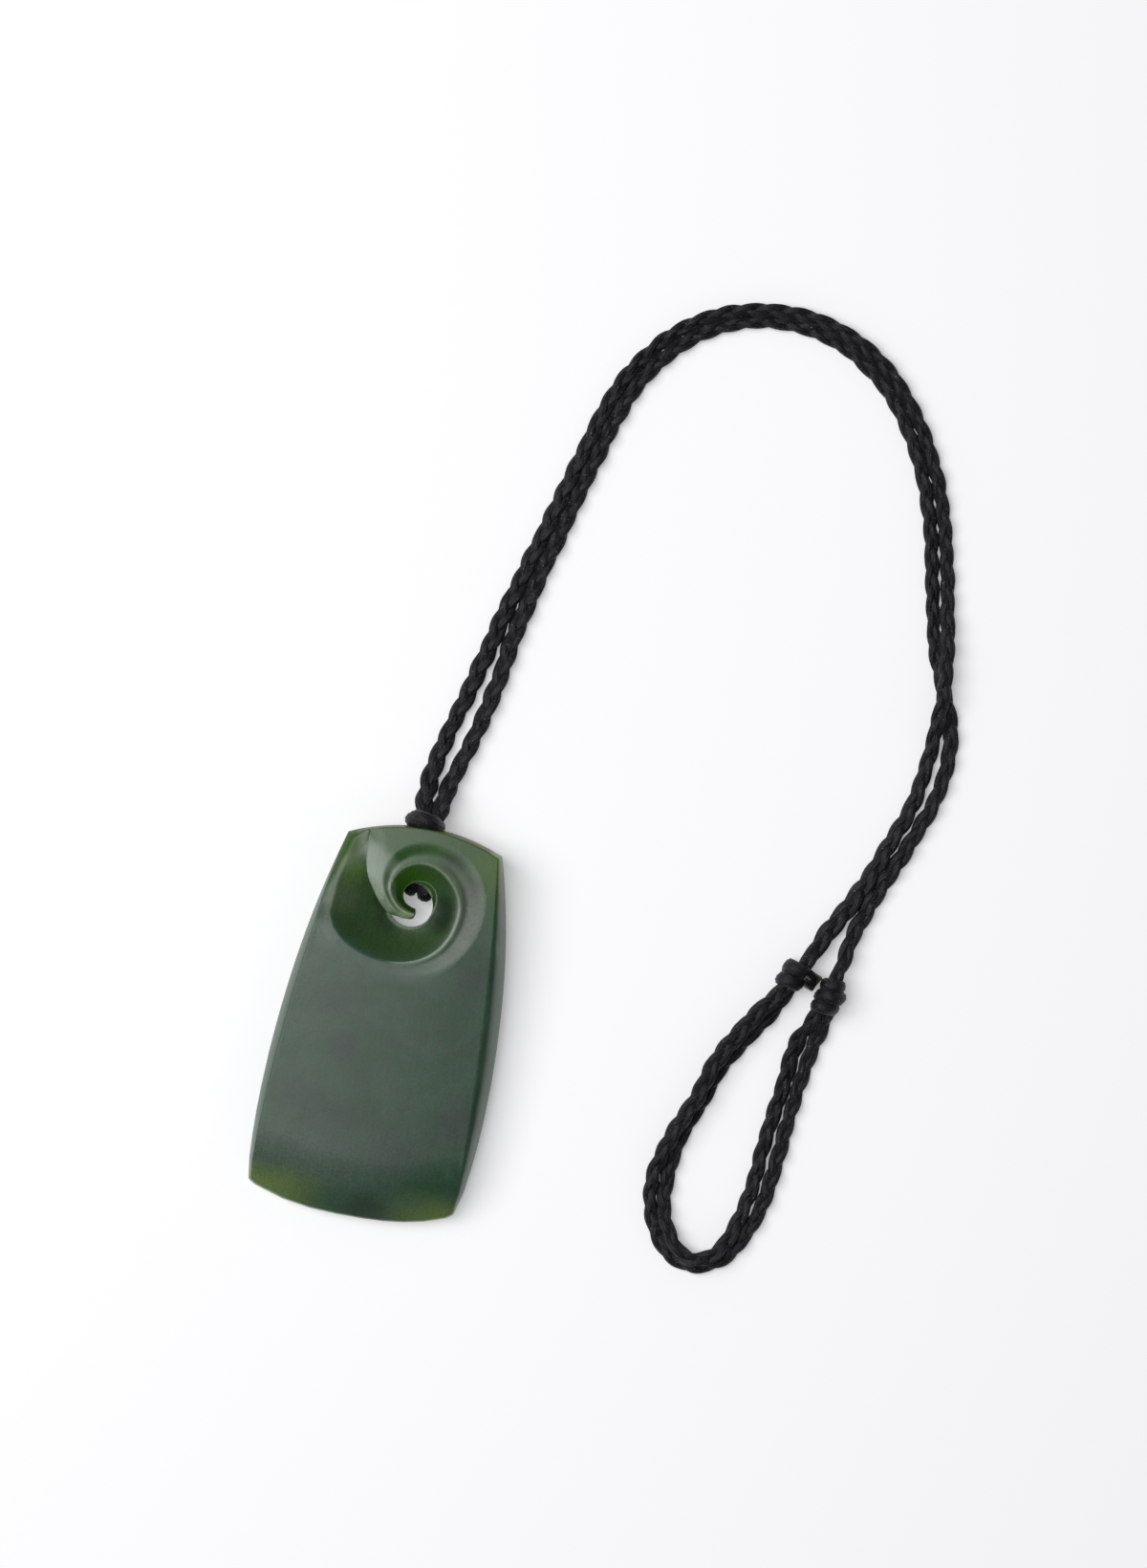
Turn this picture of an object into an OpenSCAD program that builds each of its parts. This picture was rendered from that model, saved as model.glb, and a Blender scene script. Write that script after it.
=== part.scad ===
/* [Stone] */
// Length of the stone from the butt to the cutting edge
stone_l = 62.4; // [60:0.2:66]
// Width of the stone over its widest part
stone_w = 35; // [34:0.2:38]
// Thickness of the stone beside the eye
stone_t = 9; // [8.8:0.1:10]
// Thickness left at the cutting edge
edge_t = 3.2; // [2.6:0.1:4]
// How much lower the face lies at its sides than along its middle
crown = 0.5; // [0:0.1:0.8]

/* [Eye and spiral] */
// Diameter of the drilled eye
eye_d = 7; // [6.9:0.1:7.1]
// Height of the dish's floor above the back, where it meets the eye
floor_z = 4.4; // [4:0.1:4.8]
// Depth of the flute that runs outside the spiral's ridge
flute_depth = 0.6; // [0.2:0.1:0.9]
// How far the frond's overhanging edge falls below its middle
frond_fall = 0.35; // [0.2:0.05:0.8]

/* [Cord] */
// Diameter of the plaited cord
cord_d = 2.2; // [2:0.1:2.2]
// Stone left between the cord's tunnel and the groove in the back
bridge_t = 1; // [0.8:0.1:1.2]
// Diameter to which the hitch squeezes the cord
hitch_d = 1.8; // [1.6:0.1:1.8]
// Width of one turn of a sliding knot
wrap_w = 2; // [1.8:0.1:2.2]
// Thickness of the flattened cord in a knot's turn
wrap_t = 1.3; // [1.1:0.1:1.5]

/* [Hidden] */
$fn = 48;
clear = 0.1;

// Where the stone's four corners lie at three heights, butt left, butt right, edge right, edge left
modelled_w = 35;
modelled_l = 62.4;
function fitted(corners) = [for (p = corners) [p.x * stone_w / modelled_w, p.y * stone_l / modelled_l]];
FACE = fitted([[-12.3, 28.0], [11.3, 28.7], [15.6, -27.2], [-16.8, -28.1]]);
WAIST = fitted([[-12.5, 28.2], [11.8, 29.1], [15.8, -27.6], [-17.3, -28.4]]);
BACK = fitted([[-11.9, 27.8], [11.2, 28.5], [14.4, -24.4], [-15.8, -25.0]]);
// How far each side bows out at the face, the waist and the back, and how full the bow is
//        face  waist back  fullness
BOWS = [[2.5, 2.6, 2.5, 2.0],   // butt
        [0.9, 3.1, 2.8, 2.2],   // right side
        [2.8, 2.9, 2.0, 2.6],   // cutting edge
        [1.3, 2.4, 2.2, 2.1]];  // left side
// How far each corner is rubbed round: butt left, butt right, edge right, edge left
ROUNDED = [0, 0, 2.1, 1.5];
corner_pull = 0.19;
FACE_BOW = 0;
WAIST_BOW = 1;
BACK_BOW = 2;
FULLNESS = 3;
waist_part = 0.44;
edge_waist_z = 1.3;

// The face is level from the butt to taper_y, falls a little like a wedge, and rolls down to the
// cutting edge over the width of the blade
taper_y = 15;
wedge_fall = 3.2;
blade_w = 8;
blade_power = 2;
butt_fall = 0.5;

// The spiral is measured about a point inside the eye, as an angle turned clockwise from its tip
spiral_at = [0.3, 19.3];
tip_angle = 272;
eye_at = [-0.7, 18.85];
// Rim of the opening, the ridge round the bowl, and the outer side of the flute
//         turn rim_r rim_z ridge_r flute_r flute dip  scoop
SPIRAL = [[0,   1.35, 6.3, 1.60,  1.80,   0.2,  0.9,  1.0],
          [8,   0.94, 6.3, 1.62,  1.95,   0.3,  0.85, 1.0],
          [17,  0.86, 6.4, 1.66,  2.15,   0.5,  0.8,  1.0],
          [40,  0.98, 6.4, 1.95,  2.55,   0.7,  0.6,  1.0],
          [65,  1.28, 6.4, 2.60,  3.35,   0.9,  0.4,  1.0],
          [90,  1.95, 6.4, 3.60,  4.50,   1.0,  0.25, 1.0],
          [110, 2.45, 6.4, 4.75,  5.95,   1.0,  0.1,  1.0],
          [130, 2.90, 6.4, 5.65,  7.30,   1.0,  0,    1.0],
          [155, 3.25, 6.4, 6.40,  8.90,   1.0,  0,    1.0],
          [185, 3.45, 6.4, 6.72,  9.90,   1.0,  0,    1.1],
          [220, 3.45, 6.3, 6.56,  10.7,   1.1,  0,    1.2],
          [255, 2.90, 6.0, 6.64,  10.8,   1.2,  0,    1.2],
          [290, 2.66, 5.7, 6.85,  10.6,   1.2,  0,    1.3],
          [325, 3.05, 5.3, 7.85,  10.9,   0.9,  0,    1.4],
          [360, 3.75, 4.9, 9.15,  11.4,   0.4,  0,    1.6],
          [395, 4.35, 4.6, 10.95, 12.4,   0.15, 0,    1.7],
          [425, 4.60, 4.4, 13.10, 14.2,   0.1,  0,    1.9],
          [440, 5.00, 4.5, 13.30, 14.3,   0,    0,    1.9],
          [458, 6.90, 5.0, 12.70, 13.4,   0,    0,    1.9],
          [475, 9.40, 6.0, 12.80, 13.6,   0,    0,    1.9],
          [490, 11.7, 6.9, 13.80, 14.4,   0,    0,    1.9],
          [501, 13.9, 7.4, 13.94, 13.97,  0,    0,    1.9]];
RIM_R = 1;
RIM_Z = 2;
RIDGE_R = 3;
FLUTE_R = 4;
FLUTE = 5;
DIP = 6;
SCOOP = 7;
// Past this turn the rim is the drilled eye wherever that is wider
drilled_from = 160;
// The frond's overhanging edge, from its tip to the butt
//       turn  radius
FROND = [[0,   1.85],
         [4,   2.25],
         [9,   2.48],
         [27,  2.84],
         [48,  3.54],
         [62,  4.50],
         [74,  5.15],
         [87,  5.98],
         [99,  7.05],
         [113, 9.05],
         [127, 11.2]];
// Where the frond's edge meets the butt, how far it falls there, and how evenly it falls
root_share = 0.145;
root_drop = 0.15;
fall_power = 1.15;
// The open dish past the ridge's end: its floor at the frond, its crest and its rim at the stone's side,
// and how far its slope swells from hollow at 0 to domed at 1
//      turn floor crest out  swell
DISH = [[410, 4.42, 8.6, 8.8, 0],
        [425, 4.5,  8.3, 8.4, 0.1],
        [440, 4.7,  7.8, 7.7, 0.3],
        [458, 5.4,  7.3, 6.7, 0.6],
        [475, 6.8,  7.15, 6, 0.9],
        [490, 7.55, 7.3, 5.9, 1],
        [501, 7.9,  7.6, 6.3, 1]];
DISH_FLOOR = 1;
DISH_CREST = 2;
DISH_OUT = 3;
DISH_SWELL = 4;
opens_from = 405;
opens_to = 440;

bowl_rows = 6;
flute_rows = 5;
face_rows = 12;
rows = bowl_rows + flute_rows + face_rows;
// The last part of the bowl's wall is rubbed down to a rounded crest
crest_from = 0.93;
crest_worn = 0.14;
// The face's rows are closer near the flute and near the stone's outline
flute_spread = 1.4;
edge_spread = 1.7;
// The bevel's section from the face to the waist: a soft shoulder, then a steeper chamfer
//        out   down
BEVEL = [[0,    0],
         [0.17, 0.03],
         [0.38, 0.11],
         [0.66, 0.42],
         [0.9,  0.78],
         [1,    1]];
bevel_rows = len(BEVEL) - 1;
shoulder_row = 2;
// How wide the shoulder is on the left side against the right, and where it changes
left_shoulder = 0.3;
shoulder_from = -12;
shoulder_to = 12;

// Two runs of cord lie side by side, in the tunnel and in the groove behind it
cord_x = [-1.25, 1.05];
leg_z = cord_d / 2 + clear / 2;
tunnel_z = cord_d + clear + bridge_t + (cord_d + clear) / 2;
turn_y = 22.75;
pocket_y = [19.6, 22.56];
// Where the runs leave the stone at the butt, and the bar that crosses both strands above it
mouth_y = 31.3;
bar_y = 32.3;
bar_z = 7.1;
middle_x = -0.6;

// The two strands, from the hitch up to the bend, down through the knots and round the loop's end
LEFT_ROUTE = [[-2.3, 34.8, 3.6], [-2.2, 37, 2.5], [-1.8, 40, 1.6], [-0.7, 45, 1.2],
              [1.6, 54, 1.2], [4.4, 66, 1.2], [8.3, 81.5, 1.2], [13.4, 101, 1.2],
              [17.1, 109.2, 1.2], [23, 116.3, 1.2], [31, 120.7, 1.2], [40, 122.1, 1.2],
              [48.6, 120.4, 1.2], [56.2, 115.9, 1.2], [62, 109.4, 1.2], [66, 102.5, 1.2],
              [69.2, 94.3, 1.2], [71.5, 85.5, 1.2], [73.2, 76, 2.9], [74.1, 69.5, 3.6],
              [74.3, 66, 3.5], [74.2, 62.4, 2.5], [74, 56.5, 1.2], [72.9, 49.2, 1.2],
              [70.4, 42, 1.2], [67.8, 34.8, 1.2], [64.4, 27.7, 1.6], [61.9, 22.8, 2.6],
              [58.5, 17, 2.6], [55.2, 12.2, 3.4], [51.2, 5, 3.4], [49, -2, 3.4],
              [46.2, -9, 3.2], [44.7, -16, 1.6], [45.9, -22, 1.2], [49.3, -26.9, 1.2],
              [54, -28.6, 1.2], [58.5, -26.3, 1.2], [61.2, -21.8, 1.2], [63, -15, 1.2],
              [63.6, -7, 1.2], [64.2, 1, 1.2], [65.4, 9.2, 1.2], [66.4, 12.2, 1.3],
              [67.1, 14.4, 1.3]];
RIGHT_ROUTE = [[1.1, 34.8, 3.6], [1.3, 37, 2.5], [2, 40, 1.6], [3.3, 45, 1.2],
               [5.4, 54, 1.2], [7.2, 66, 1.2], [10.8, 81, 1.2], [15.7, 100.2, 1.2],
               [19.2, 107.8, 1.2], [24.6, 114.4, 1.2], [31.7, 118.3, 1.2], [39.9, 119.6, 1.2],
               [47.8, 118, 1.2], [54.8, 113.9, 1.2], [60.1, 107.9, 1.2], [63.9, 101.4, 1.2],
               [66.9, 93.6, 1.2], [69, 85, 1.2], [71.3, 75.7, 1.2], [73.8, 69.5, 1.2],
               [75.3, 66, 1.2], [76.6, 62.4, 1.2], [77.1, 56, 1.2], [75.6, 48.6, 1.2],
               [72.8, 41.2, 1.2], [70.3, 34, 1.2], [68.5, 28, 1.6], [67.2, 21.7, 2.6],
               [64.8, 14.1, 2.6], [62.8, 9.3, 1.4], [62, 2, 1.2], [61, -6, 1.2],
               [60.4, -14, 1.2], [58.9, -20.6, 1.2], [56.7, -24.6, 1.2], [53.7, -26, 1.2],
               [50.7, -24.7, 1.2], [48.2, -21, 1.2], [47.2, -16, 1.2], [47.8, -9, 1.2],
               [50, -2, 1.2], [52.3, 4.6, 1.2], [56.6, 11.5, 1.2], [59.5, 15.2, 1.2],
               [60.7, 17.1, 1.2]];
end_gap = 0.06;
// The knots' middles, and the way their strands run through them
left_knot_at = [60.2, 19.9, 2.6];
left_knot_heading = 59.6;
right_knot_at = [66, 17.9, 2.6];
right_knot_heading = 72.5;
wrap_pitch = 1.9;
wrap_tilt = 5;

function heading(angle) = [cos(angle), sin(angle)];
function unit(v) = v / norm(v);
function cross2(a, b) = a.x * b.y - a.y * b.x;
function blend(a, b, share) = a + (b - a) * share;
function ramp(x, from, to) = max(0, min(1, (x - from) / (to - from)));
function eased(x) = x * x * (3 - 2 * x);
function angle_of(p) = atan2(p.y - spiral_at.y, p.x - spiral_at.x);

// Smooth curve through one column of a table whose first column rises
function row_under(table, x, i = 0) =
    i >= len(table) - 2 || table[i + 1][0] > x ? i : row_under(table, x, i + 1);
function slope_at(table, column, i) =
    let (a = max(0, i - 1), b = min(len(table) - 1, i + 1))
    (table[b][column] - table[a][column]) / (table[b][0] - table[a][0]);
function reading(table, column, x) =
    let (i = row_under(table, x),
         step = table[i + 1][0] - table[i][0],
         t = max(0, min(1, (x - table[i][0]) / step)),
         m0 = slope_at(table, column, i) * step,
         m1 = slope_at(table, column, i + 1) * step)
    (2 * t ^ 3 - 3 * t ^ 2 + 1) * table[i][column] + (t ^ 3 - 2 * t ^ 2 + t) * m0
    + (3 * t ^ 2 - 2 * t ^ 3) * table[i + 1][column] + (t ^ 3 - t ^ 2) * m1;

// How a rounded corner pulls a point in that lies a little way from it
function pulled(corners, corner, away) =
    let (round = ROUNDED[corner], at = corners[corner], left = max(0, 1 - away / max(round, 0.01)),
         inward = unit(corners[(corner + 1) % 4] - at) + unit(corners[(corner + 3) % 4] - at))
    inward / norm(inward) * corner_pull * round * left ^ 2;
// Point at a share of the way along one bowed side
function side_point(corners, bow, side, share) =
    let (next = (side + 1) % 4, a = corners[side], b = corners[next], run = b - a)
    a + run * share + [-run.y, run.x] / norm(run) * BOWS[side][bow]
    * (1 - abs(2 * share - 1) ^ BOWS[side][FULLNESS])
    + pulled(corners, side, norm(run) * share) + pulled(corners, next, norm(run) * (1 - share));

function share_at(side, angle) =
    let (a = FACE[side], b = FACE[(side + 1) % 4])
    cross2(a - spiral_at, heading(angle)) / cross2(a - b, heading(angle));
// Steps of a sector, part even in angle and part even along the side
function step_share(s, k) =
    blend(share_at(s[0], blend(s[1], s[2], k / s[3])),
          blend(share_at(s[0], s[1]), share_at(s[0], s[2]), k / s[3]), s[4]);

// Sectors of rays from the spiral's centre, clockwise from the frond's root
// Columns: side, first angle, last angle, steps, how far the steps are evened out along the side
root_angle = angle_of(blend(FACE[0], FACE[1], root_share));
butt_right = angle_of(FACE[1]);
edge_right = angle_of(FACE[2]);
edge_left = angle_of(FACE[3]);
butt_left = angle_of(FACE[0]) - 360;
tongue_root = tip_angle - 360 - 62;
step_gap = 1.5;
// The edge's rounded corners take this much of a turn
round_edge = 1.6;
// The blade's end on a side takes this much
blade_side = 6;
SECTORS = [[0, root_angle, butt_right, 15, 0],
           [1, butt_right, edge_right + blade_side, 18, 0.4],
           [1, edge_right + blade_side, edge_right, 4, 1],
           [2, edge_right, edge_right - round_edge, 3, 1],
           [2, edge_right - round_edge, tip_angle - 360, 4, 0.5],
           [2, tip_angle - 360, edge_left + round_edge, 4, 0.5],
           [2, edge_left + round_edge, edge_left, 3, 1],
           [3, edge_left, edge_left - blade_side, 4, 1],
           [3, edge_left - blade_side, tongue_root, 8, 0.3],
           [3, tongue_root, butt_left, 16, 0],
           [0, butt_left, root_angle - 360 + step_gap, 4, 0]];
tip_sector = 5;
tongue_sector = 9;
last_sector = len(SECTORS) - 1;
rays = concat([for (s = SECTORS, k = [0:s[3] - 1]) [s[0], step_share(s, k)]],
              [[0, share_at(0, SECTORS[last_sector][2])]]);
ray_count = len(rays);
function steps_before(sector) = sector == 0 ? 0 : SECTORS[sector - 1][3] + steps_before(sector - 1);
tip_ray = steps_before(tip_sector);
tongue_ray = steps_before(tongue_sector);
frond_count = ray_count - tip_ray;
tongue_count = tongue_ray - tip_ray;
column_count = frond_count + ray_count;

// A column's ray, and how far it has turned from the tip
function ray_of(c) = rays[(c - frond_count + ray_count) % ray_count];
function out_point(corners, bow, c) = side_point(corners, bow, ray_of(c)[0], ray_of(c)[1]);
function bearing(c) = angle_of(out_point(FACE, FACE_BOW, c));
root_turn = tip_angle - bearing(frond_count);
function back_from_root(c) = (bearing(frond_count) - bearing(c) + 720) % 360;
turns = [for (c = [0:column_count - 1])
    root_turn + back_from_root(c) - (c < frond_count ? 360 : 0)];

// Where the cutting edge lies along the stone, at a place across it
function edge_y(x) =
    let (share = ramp(x, FACE[3].x, FACE[2].x))
    blend(FACE[3].y, FACE[2].y, share) - BOWS[2][FACE_BOW] * (1 - abs(2 * share - 1) ^ BOWS[2][FULLNESS]);
function face_z(p) =
    let (down = max(0, taper_y - p.y) / (taper_y + stone_l / 2),
         up = max(0, p.y - taper_y) / (stone_l / 2 - taper_y),
         blade = ramp(blade_w - p.y + edge_y(p.x), 0, blade_w))
    stone_t - wedge_fall * down - (stone_t - wedge_fall - edge_t) * blade ^ blade_power
    - butt_fall * up ^ 2 - crown * (p.x / (stone_w / 2)) ^ 2;
function waist_z(p) =
    let (down = ramp(-p.y, stone_l / 2 - 12, stone_l / 2))
    blend(waist_part * face_z(p), edge_waist_z, eased(down));

// Distance from the spiral's centre to the wall of the drilled eye
function drilled_r(turn) =
    let (d = heading(tip_angle - turn), along = d * (eye_at - spiral_at),
         away = norm(eye_at - spiral_at))
    along + sqrt(along ^ 2 - away ^ 2 + eye_d ^ 2 / 4);
frond_edge = concat(FROND, [[root_turn, norm(out_point(FACE, FACE_BOW, frond_count) - spiral_at)]]);
function frond_r(turn) = reading(frond_edge, 1, turn);
function rim_r(turn) =
    let (carved = reading(SPIRAL, RIM_R, turn))
    turn < drilled_from ? carved : turn > 300 ? drilled_r(turn) : max(carved, drilled_r(turn));

// How far a column reaches, and the point where it ends on the face, moved out where the dish cuts lower
function out_z(c) =
    let (q = out_point(FACE, FACE_BOW, c), turn = turns[c])
    turn < opens_from ? face_z(q)
    : min(face_z(q), blend(face_z(q), reading(DISH, DISH_OUT, turn), ramp(turn, opens_from, opens_to)));
function out_end(c) =
    let (q = out_point(FACE, FACE_BOW, c), w = out_point(WAIST, WAIST_BOW, c), low = waist_z(w))
    w + (q - w) * (out_z(c) - low) / (face_z(q) - low);

function column_start(c) =
    c < frond_count + tongue_ray ? rim_r(turns[c]) : frond_r(turns[c] - 360);
function column_end(c) = c < frond_count ? frond_r(turns[c]) : norm(out_end(c) - spiral_at);
function column_heading(c) =
    let (p = c < frond_count ? out_end(c + ray_count) : out_end(c))
    (p - spiral_at) / norm(p - spiral_at);

// Where the ridge and the flute's outer side cross a column, always inside its own span
function ridge_at(c) =
    min(reading(SPIRAL, RIDGE_R, turns[c]), blend(column_start(c), column_end(c), 0.8));
function flute_at(c) =
    min(reading(SPIRAL, FLUTE_R, turns[c]), blend(column_start(c), column_end(c), 0.9));

// Radius of a row: up the bowl to the ridge, across the flute, and over the face
function row_r(c, j) =
    let (start = column_start(c), end = column_end(c), ridge = ridge_at(c), flute = flute_at(c))
    j <= bowl_rows ? blend(start, ridge, j == bowl_rows - 1 ? crest_from : j / bowl_rows)
    : j <= bowl_rows + flute_rows ? blend(ridge, flute, (j - bowl_rows) / flute_rows)
    : let (share = (j - bowl_rows - flute_rows) / face_rows)
        blend(flute, end,
              c < frond_count ? share : blend(share ^ flute_spread, 1 - (1 - share) ^ edge_spread, share));
function open_share(c) = c < frond_count ? 0 : eased(ramp(turns[c], opens_from, opens_to));

// Section of the flute: from the ridge down into its bottom and out to the level face
function hollow(share) = (1 - share) ^ 2 * (0.5 + 4.6 * share);
// Height of the ridged part at a radius
function ridged_z(c, r, p) =
    let (turn = turns[c], start = column_start(c), end = column_end(c),
         ridge = ridge_at(c), flute = flute_at(c),
         top = face_z(p) - reading(SPIRAL, DIP, turn),
         ridge_z = top - flute_depth * reading(SPIRAL, FLUTE, turn) * hollow(0),
         rim_z = reading(SPIRAL, RIM_Z, turn),
         up = max(0, (r - start) / (ridge - start)))
    r <= ridge
        ? rim_z + (ridge_z - rim_z) * up ^ reading(SPIRAL, SCOOP, turn) - crest_worn * ramp(up, crest_from, 1)
    : r <= flute ? top - flute_depth * reading(SPIRAL, FLUTE, turn) * hollow((r - ridge) / (flute - ridge))
    : c < frond_count
        ? top - ((r - flute) / (end - flute)) ^ fall_power
            * blend(frond_fall, root_drop, ramp(turn, 120, root_turn) ^ 2)
        : top;
// Height of the open dish: up from the foot of the frond to a crest, then down to the stone's side
function open_z(c, r) =
    let (turn = turns[c], start = column_start(c), end = column_end(c),
         ridge = ridge_at(c), crest = reading(DISH, DISH_CREST, turn),
         share = max(0, (r - start) / (ridge - start)),
         risen = blend(share ^ 1.5, sin(90 * share), reading(DISH, DISH_SWELL, turn)))
    r < ridge
        ? blend(reading(DISH, DISH_FLOOR, turn), crest, risen)
        : blend(crest, out_z(c), ((r - ridge) / (end - ridge)) ^ 2);
function top_point(c, j) =
    let (r = row_r(c, j), p = spiral_at + column_heading(c) * r, open = open_share(c),
         z = open >= 1 ? open_z(c, r)
             : open <= 0 ? ridged_z(c, r, p)
             : blend(ridged_z(c, r, p), open_z(c, r), open))
    [p.x, p.y, c >= frond_count && j == rows ? out_z(c)
        : c == frond_count + tongue_ray && j == 0 ? floor_z : z];

// The eye's wall: under the frond it is undercut back to the drilled hole
function polar_point(c, r, z) = concat(spiral_at + column_heading(c) * r, [z]);
function lip_z(turn) = blend(floor_z, reading(SPIRAL, RIM_Z, turn) - 0.25, eased(ramp(turn, 115, 175)));
function lip_point(c) = polar_point(c, rim_r(turns[c]), lip_z(turns[c]));
function wall_point(c) =
    c < tongue_count ? polar_point(c, frond_r(turns[c]), floor_z)
    : polar_point(c, drilled_r(turns[c]), lip_z(turns[c]) - 0.5 * ramp(turns[c], 130, 185));
function foot_point(c) = polar_point(c, drilled_r(turns[c]), 0);

function waist_point(c) = let (w = out_point(WAIST, WAIST_BOW, c)) [w.x, w.y, waist_z(w)];
// Share of a bevel row, with the shoulder narrower towards the left side
function bevel_share(c, k, column) =
    let (size = blend(left_shoulder, 1, ramp(out_end(c).x, shoulder_from, shoulder_to)),
         full = BEVEL[k][column], end = BEVEL[shoulder_row][column])
    k <= shoulder_row ? full * size : 1 - (1 - full) * (1 - end * size) / (1 - end);
function bevel_point(c, k) =
    let (top = concat(out_end(c), [out_z(c)]), low = waist_point(c),
         out = bevel_share(c, k, 0), down = bevel_share(c, k, 1))
    [blend(top.x, low.x, out), blend(top.y, low.y, out), blend(top.z, low.z, down)];

// Vertex numbers of the stone, in the order in which its points are listed below
wall_end = tongue_count + ray_count;
lip_base = column_count * (rows + 1);
wall_base = lip_base + wall_end;
foot_base = wall_base + wall_end;
bevel_base = foot_base + ray_count;
waist_base = bevel_base + (bevel_rows - 1) * ray_count;
back_base = waist_base + ray_count;
function top_id(c, j) = c == column_count ? top_id(frond_count, rows) : c * (rows + 1) + j;
function lip_id(c) = c == wall_end ? top_id(wall_end, 0) : lip_base + c;
function wall_id(c) = c == tongue_count || c == wall_end ? top_id(wall_end, 0) : wall_base + c;
function foot_id(c) = foot_base + (c - tongue_count) % ray_count;
function bevel_id(c, k) =
    k == 0 ? top_id(c, rows) : bevel_base + (k - 1) * ray_count + (c - frond_count) % ray_count;
function waist_id(c) = bevel_id(c, bevel_rows);
function back_id(c) = back_base + (c - frond_count) % ray_count;
// The column that carries the stone's outer side along the same ray
function outer(c) = c < frond_count ? c + ray_count : c;

stone_points = concat(
    [for (c = [0:column_count - 1], j = [0:rows]) top_point(c, j)],
    [for (c = [0:wall_end - 1]) lip_point(c)],
    [for (c = [0:wall_end - 1]) wall_point(c)],
    [for (c = [tongue_count:wall_end - 1]) foot_point(c)],
    [for (k = [1:bevel_rows - 1], c = [frond_count:column_count - 1]) bevel_point(c, k)],
    [for (c = [frond_count:column_count - 1]) waist_point(c)],
    [for (c = [frond_count:column_count - 1]) concat(out_point(BACK, BACK_BOW, c), [0])]);

// Two triangles between a step of one row and the same step of the next, or one where two corners meet
function patch(a, b, c, d) =
    a == b || b == c ? [[a, c, d]] : c == d || a == d ? [[a, b, c]] : [[a, b, c], [a, c, d]];
// The same, split along the shorter diagonal
function short_patch(a, b, c, d) =
    let (across = norm(stone_points[a] - stone_points[c]), other = norm(stone_points[b] - stone_points[d]))
    a == b || b == c || c == d || a == d || across <= other ? patch(a, b, c, d) : [[a, b, d], [b, c, d]];
function flat(lists) = [for (l = lists, x = l) x];
stone_faces = concat(
    flat([for (c = [0:column_count - 1], j = [0:rows - 1])
        short_patch(top_id(c, j), top_id(c, j + 1), top_id(c + 1, j + 1), top_id(c + 1, j))]),
    flat([for (c = [0:tongue_count - 1])
        patch(top_id(c, rows), wall_id(c), wall_id(c + 1), top_id(c + 1, rows))]),
    flat([for (c = [tongue_count:frond_count - 1])
        patch(top_id(c, rows), top_id(c + ray_count, 0), top_id(c + ray_count + 1, 0), top_id(c + 1, rows))]),
    flat([for (c = [frond_count:column_count - 1], k = [0:bevel_rows - 1])
        patch(bevel_id(c, k), bevel_id(c, k + 1), bevel_id(c + 1, k + 1), bevel_id(c + 1, k))]),
    flat([for (c = [frond_count:column_count - 1])
        patch(waist_id(c), back_id(c), back_id(c + 1), waist_id(c + 1))]),
    flat([for (c = [tongue_count:wall_end - 1]) concat(
        patch(back_id(outer(c)), foot_id(c), foot_id(c + 1), back_id(outer(c) + 1)),
        patch(foot_id(c), wall_id(c), wall_id(c + 1), foot_id(c + 1)))]),
    flat([for (c = [0:wall_end - 1]) concat(
        patch(wall_id(c), lip_id(c), lip_id(c + 1), wall_id(c + 1)),
        patch(lip_id(c), top_id(c, 0), top_id(c + 1, 0), lip_id(c + 1)))]),
    [for (j = [0:rows - 1]) [lip_id(0), top_id(0, j + 1), top_id(0, j)]],
    [[lip_id(0), wall_id(0), top_id(0, rows)]]);

module cord_runs(z, d, from, to) {
    for (x = cord_x)
        translate([x, from, z])
            rotate([-90, 0, 0])
                cylinder(h = to - from, d = d);
}

// The hidden way for the cord: a tunnel from the butt to the eye, with a groove behind it in the back
module cord_way() {
    bore = cord_d + 1.5 * clear;
    width = cord_x[1] - cord_x[0];
    past_butt = mouth_y + 3;
    cord_runs(tunnel_z, bore, pocket_y[0], past_butt);
    translate([cord_x[0], pocket_y[0], tunnel_z - bore / 2])
        cube([width, past_butt - pocket_y[0], bore]);
    cord_runs(leg_z, bore, pocket_y[0], past_butt);
    translate([cord_x[0] - bore / 2, pocket_y[0], -1])
        cube([width + bore, past_butt - pocket_y[0], leg_z + 1]);
    translate([cord_x[0], pocket_y[0], -1])
        cube([width, past_butt - pocket_y[0], leg_z + bore / 2 + 1]);
    translate([cord_x[0] - bore / 2, pocket_y[0], -1])
        cube([width + bore, pocket_y[1] - pocket_y[0], tunnel_z + 1]);
}

module stone() {
    color([0.27, 0.38, 0.3])
        difference() {
            polyhedron(stone_points, stone_faces);
            cord_way();
        }
}

// Round tube through a route's points, one ring to a point, carried along without twist
function along(route, i) =
    unit(unit(route[min(i + 1, len(route) - 1)] - route[min(i, len(route) - 2)])
         + unit(route[max(i, 1)] - route[max(i - 1, 0)]));
function carried(route, side, i = 0) =
    i == len(route) ? []
    : let (ahead = along(route, i), next = unit(side - ahead * (side * ahead)))
        concat([next], carried(route, next, i + 1));

module tube(route, sides, d) {
    rings = len(route);
    side = carried(route, [1, 0, 0]);
    points = flat([for (i = [0:rings - 1])
        let (up = cross(side[i], along(route, i)))
        [for (k = [0:sides - 1])
            route[i] + (side[i] * cos(360 * k / sides) + up * sin(360 * k / sides)) * d / 2]]);
    ends = [[for (k = [0:sides - 1]) k], [for (k = [sides - 1:-1:0]) (rings - 1) * sides + k]];
    walls = flat([for (i = [0:rings - 2], k = [0:sides - 1])
        let (a = i * sides + k, b = i * sides + (k + 1) % sides)
        patch(a, a + sides, b + sides, b)]);
    polyhedron(points, concat(ends, walls));
}

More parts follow.
